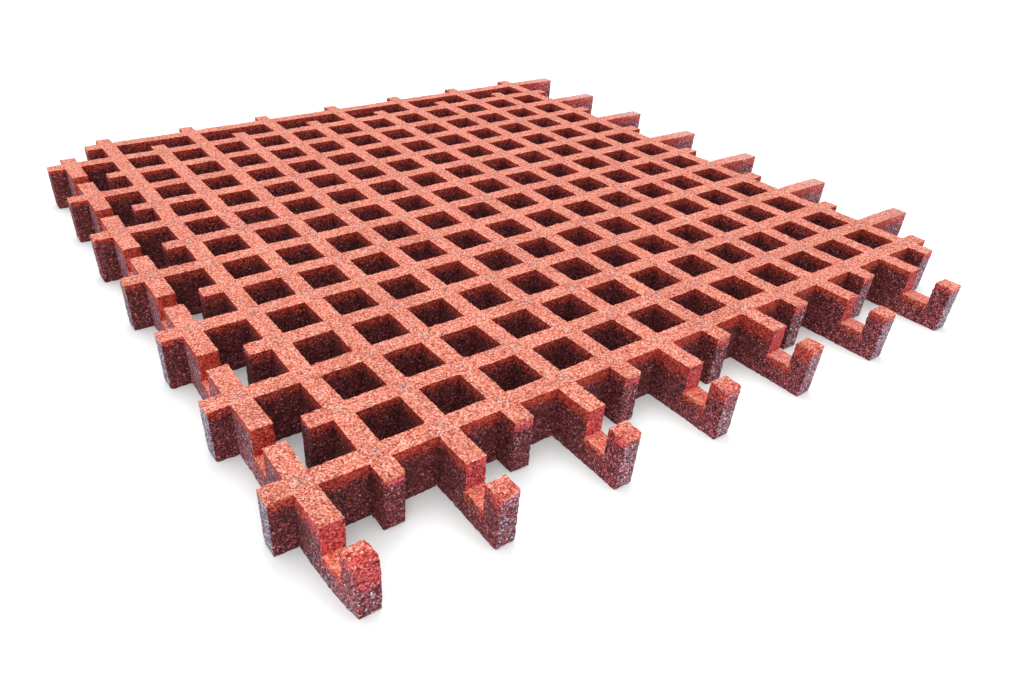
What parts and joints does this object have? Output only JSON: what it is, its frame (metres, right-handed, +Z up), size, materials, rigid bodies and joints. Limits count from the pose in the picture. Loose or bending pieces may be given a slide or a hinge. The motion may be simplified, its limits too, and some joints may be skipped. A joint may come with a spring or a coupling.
{
  "type": "rubber grass paver",
  "caption": "Square open grid of red bound rubber crumb bars, with long fingers on two sides and half-lap notches that lock it to the pavers laid beside it.",
  "frame": {"origin": "on the floor, under the middle of the whole outline, fingers included", "axes": "+Z up out of the walked-on face, +X along the right fingers, -Y along the front fingers"},
  "size_m": [0.6542, 0.6542, 0.038],
  "materials": {
    "rubber_crumb": "matt bound crumb, coarse"
  },
  "bodies": {
    "root": {"paver": "rubber_crumb"}
  },
  "joints": []
}
